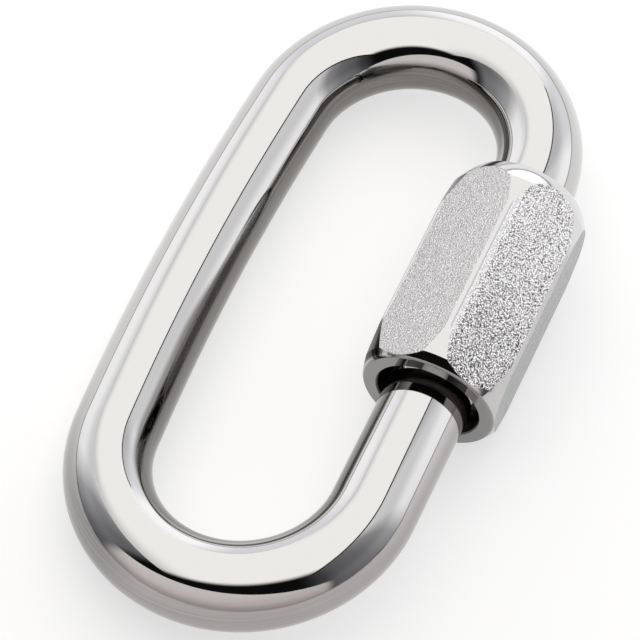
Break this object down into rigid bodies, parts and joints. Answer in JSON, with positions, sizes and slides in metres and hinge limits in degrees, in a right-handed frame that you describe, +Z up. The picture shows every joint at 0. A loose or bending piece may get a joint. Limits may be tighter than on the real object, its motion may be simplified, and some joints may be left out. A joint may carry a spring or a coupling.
{
  "type": "chain quick link",
  "caption": "Oval chain quick link: a bent round steel bar with a threaded gate in one leg, closed by a long hexagonal sleeve nut.",
  "frame": {"origin": "on the table, under the middle of the link's box", "axes": "+Y along the link, towards the bend that the closed sleeve is nearer to; +X across it, towards the gate leg; +Z up"},
  "size_m": [0.0446, 0.0866, 0.0183],
  "materials": {
    "polished_steel": "mirror-polished stainless steel",
    "blasted_steel": "blasted flats with polished turned ends"
  },
  "bodies": {
    "link": {"link_body": "polished_steel"},
    "sleeve": {"sleeve_nut": "blasted_steel"}
  },
  "joints": [
    {"name": "sleeve_travel", "type": "slide", "parent": "link", "child": "sleeve", "axis": [0, -1, 0], "range_m": [0, 0.018]}
  ]
}
